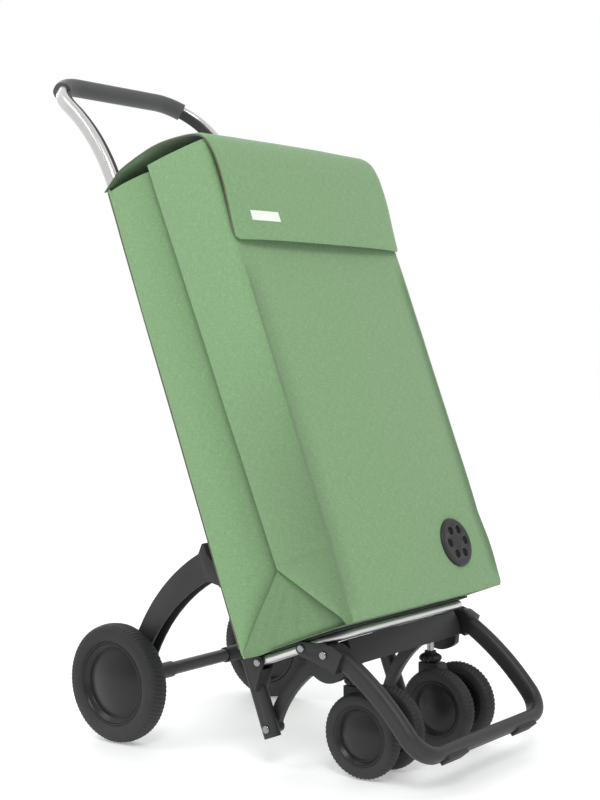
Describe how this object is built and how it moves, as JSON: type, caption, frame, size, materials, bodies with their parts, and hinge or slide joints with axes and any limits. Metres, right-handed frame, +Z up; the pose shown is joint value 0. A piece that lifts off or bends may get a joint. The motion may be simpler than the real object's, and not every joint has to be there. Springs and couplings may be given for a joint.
{
  "type": "folding shopping trolley",
  "caption": "Folding shopping trolley: leaning aluminium frame with a looped handle, open-topped fabric bag under a flap, large rear wheels, twin-wheel swivel casters and a front hoop.",
  "frame": {"origin": "on the floor, in the middle of the space the trolley stands over", "axes": "+Z up, +Y to the back where the handle is, +X to the right seen from the front"},
  "size_m": [0.37, 0.6733, 0.9489],
  "materials": {
    "green_fabric": "woven, matt, slightly mottled",
    "aluminium_tube": "bright anodised",
    "bright_fastener": "polished",
    "foam_tyre": "matt, fine tread",
    "wheel_plastic": "satin gloss",
    "grip_foam": "matt",
    "pad_rubber": "matt",
    "label_patch": "matt, blank",
    "steel_rod": "bright",
    "black_steel": "satin black",
    "base_board": "matt",
    "black_plastic": "satin, fine grain"
  },
  "bodies": {
    "frame": {"left_upright": "aluminium_tube", "left_grip_strip": "black_plastic", "left_leg": "black_plastic", "right_upright": "aluminium_tube", "right_grip_strip": "black_plastic", "right_leg": "black_plastic", "handle_grip": "grip_foam", "platform_pivot_pins": "bright_fastener", "brace_pivot_pins": "bright_fastener", "rear_arm_pivot_pins": "bright_fastener", "upper_cross_rod": "black_steel", "lower_cross_rod": "black_steel", "bag_hooks": "black_plastic", "bag_body": "green_fabric", "vent_disc": "black_plastic"},
    "flap": {"bag_flap": "green_fabric", "flap_label": "label_patch"},
    "rear_arms": {"left_rear_arm": "black_plastic", "right_rear_arm": "black_plastic", "rear_axle_tube": "black_steel", "rear_axle_rod": "steel_rod"},
    "platform": {"platform_tube": "aluminium_tube", "base_board": "base_board", "left_front_bracket": "black_plastic", "right_front_bracket": "black_plastic", "bracket_screws": "bright_fastener", "caster_beam": "black_plastic", "front_hoop": "black_plastic", "hoop_pads": "pad_rubber"},
    "left_rear_wheel": {"left_rear_tyre": "foam_tyre", "left_rear_hub": "wheel_plastic", "left_rear_cap": "wheel_plastic"},
    "left_caster": {"left_caster_stem": "steel_rod", "left_caster_collar": "black_plastic", "left_caster_yoke": "black_plastic", "left_caster_axle": "steel_rod"},
    "left_caster_outer_wheel": {"left_caster_outer_tyre": "foam_tyre", "left_caster_outer_hub": "wheel_plastic"},
    "left_caster_inner_wheel": {"left_caster_inner_tyre": "foam_tyre", "left_caster_inner_hub": "wheel_plastic"},
    "left_brace_arm": {"left_brace": "black_plastic"},
    "right_rear_wheel": {"right_rear_tyre": "foam_tyre", "right_rear_hub": "wheel_plastic", "right_rear_cap": "wheel_plastic"},
    "right_caster": {"right_caster_stem": "steel_rod", "right_caster_collar": "black_plastic", "right_caster_yoke": "black_plastic", "right_caster_axle": "steel_rod"},
    "right_caster_outer_wheel": {"right_caster_outer_tyre": "foam_tyre", "right_caster_outer_hub": "wheel_plastic"},
    "right_caster_inner_wheel": {"right_caster_inner_tyre": "foam_tyre", "right_caster_inner_hub": "wheel_plastic"},
    "right_brace_arm": {"right_brace": "black_plastic"}
  },
  "joints": [
    {"name": "rear_arms_fold", "type": "hinge", "parent": "frame", "child": "rear_arms", "pos_m": [0, -0.01445, 0.24119], "axis": [-1, 0, 0], "range_deg": [0, 45]},
    {"name": "platform_fold", "type": "hinge", "parent": "frame", "child": "platform", "pos_m": [0, -0.07981, 0.1412], "axis": [-1, 0, 0], "range_deg": [0, 90], "deforming": ["bag_body", "bag_flap", "flap_label", "vent_disc"]},
    {"name": "flap_open", "type": "hinge", "parent": "frame", "child": "flap", "pos_m": [0, 0.16774, 0.76285], "axis": [-1, 0, 0], "range_deg": [0, 65]},
    {"name": "left_brace_release", "type": "hinge", "parent": "frame", "child": "left_brace_arm", "pos_m": [-0.1326, -0.08538, 0.05248], "axis": [1, 0, 0], "range_deg": [0, 20]},
    {"name": "right_brace_release", "type": "hinge", "parent": "frame", "child": "right_brace_arm", "pos_m": [0.1326, -0.08538, 0.05248], "axis": [1, 0, 0], "range_deg": [0, 20]},
    {"name": "left_rear_wheel_spin", "type": "hinge", "parent": "rear_arms", "child": "left_rear_wheel", "pos_m": [-0.168, 0.17059, 0.083], "axis": [1, 0, 0], "continuous": true},
    {"name": "right_rear_wheel_spin", "type": "hinge", "parent": "rear_arms", "child": "right_rear_wheel", "pos_m": [0.168, 0.17059, 0.083], "axis": [1, 0, 0], "continuous": true},
    {"name": "left_caster_swivel", "type": "hinge", "parent": "platform", "child": "left_caster", "pos_m": [-0.088, -0.18141, 0.123], "axis": [0, 0, 1], "continuous": true},
    {"name": "left_caster_outer_spin", "type": "hinge", "parent": "left_caster", "child": "left_caster_outer_wheel", "pos_m": [-0.1149, -0.21041, 0.0552], "axis": [1, 0, 0], "continuous": true},
    {"name": "left_caster_inner_spin", "type": "hinge", "parent": "left_caster", "child": "left_caster_inner_wheel", "pos_m": [-0.0611, -0.21041, 0.0552], "axis": [1, 0, 0], "continuous": true},
    {"name": "right_caster_swivel", "type": "hinge", "parent": "platform", "child": "right_caster", "pos_m": [0.088, -0.18141, 0.123], "axis": [0, 0, 1], "continuous": true},
    {"name": "right_caster_outer_spin", "type": "hinge", "parent": "right_caster", "child": "right_caster_outer_wheel", "pos_m": [0.1149, -0.21041, 0.0552], "axis": [1, 0, 0], "continuous": true},
    {"name": "right_caster_inner_spin", "type": "hinge", "parent": "right_caster", "child": "right_caster_inner_wheel", "pos_m": [0.0611, -0.21041, 0.0552], "axis": [1, 0, 0], "continuous": true}
  ]
}
